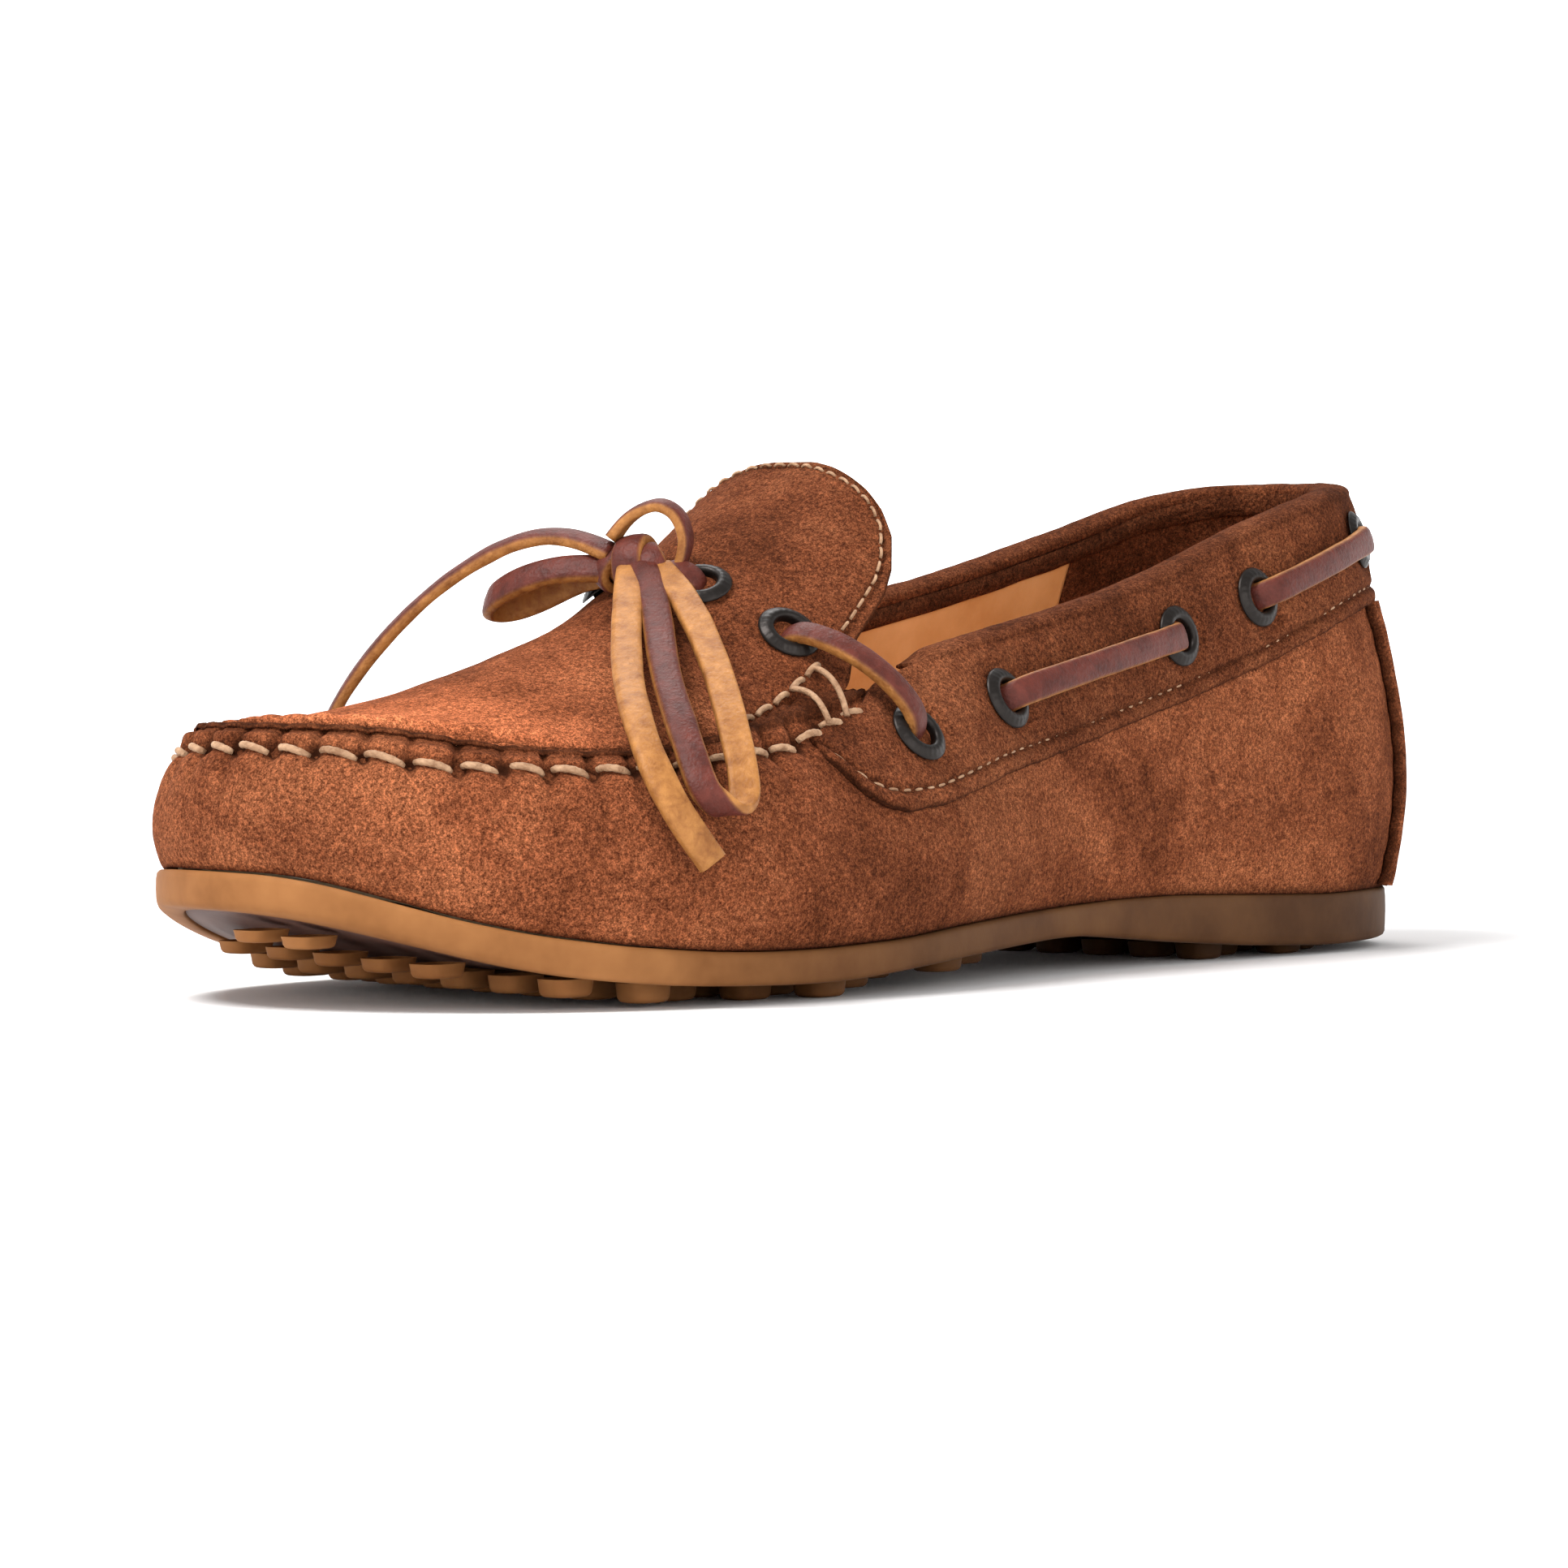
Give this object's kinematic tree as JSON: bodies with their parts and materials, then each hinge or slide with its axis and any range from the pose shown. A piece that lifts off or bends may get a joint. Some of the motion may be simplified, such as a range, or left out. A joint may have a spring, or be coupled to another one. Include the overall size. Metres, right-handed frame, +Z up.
{
  "type": "moccasin shoe",
  "caption": "Suede driving moccasin, left foot: hand-sewn apron, lace threaded through an eyeleted collar and tied in a bow, rubber studded sole.",
  "frame": {"origin": "bottom centre of the shoe box, bow and knot left out; the ground is z = 0", "axes": "+X from heel to toe, +Y to the lateral side of a left foot, +Z up"},
  "size_m": [0.2923, 0.1099, 0.0885],
  "materials": {
    "gum_rubber": "semi-matte honey gum rubber",
    "tread_rubber": "smooth mauve-brown rubber",
    "board": "pressed fibre board",
    "foam": "soft foam",
    "tan_lining": "smooth tan lining leather",
    "suede": "napped tobacco-brown suede",
    "suede_dark": "dark rolled suede edge",
    "gunmetal": "dark plated metal",
    "waxed_thread": "thick waxed tan thread",
    "rawhide": "waxed rawhide, tan edges"
  },
  "bodies": {
    "shoe": {"outsole": "gum_rubber", "tread_panel": "tread_rubber", "forefoot_studs": "gum_rubber", "heel_studs": "gum_rubber", "insole_board": "board", "footbed_foam": "foam", "footbed_cover": "tan_lining", "vamp": "suede", "apron": "suede", "collar_band": "suede", "backstay": "suede", "collar_binding": "suede_dark", "vamp_lining": "tan_lining", "quarter_lining_lateral": "tan_lining", "quarter_lining_medial": "tan_lining", "apron_lining": "tan_lining", "heel_lining": "suede_dark", "heel_counter": "board", "collar_padding": "foam", "apron_eyelets": "gunmetal", "collar_eyelets": "gunmetal", "eyelet_washers": "gunmetal", "apron_stitching": "waxed_thread", "lace_lateral": "rawhide", "lace_medial": "rawhide", "lace_tunnel_runs": "rawhide", "lace_knot": "rawhide", "bow_loop_lateral": "rawhide", "bow_loop_medial": "rawhide", "bow_tail_lateral": "rawhide", "bow_tail_medial": "rawhide"},
    "tongue": {"tongue_flap": "suede", "tongue_lining": "tan_lining"}
  },
  "joints": [
    {"name": "tongue_lift", "type": "hinge", "parent": "shoe", "child": "tongue", "pos_m": [0.04173, 0, 0.0754], "axis": [0, 1, 0], "range_deg": [0, 60], "stiffness_Nm_per_rad": 0.05}
  ]
}
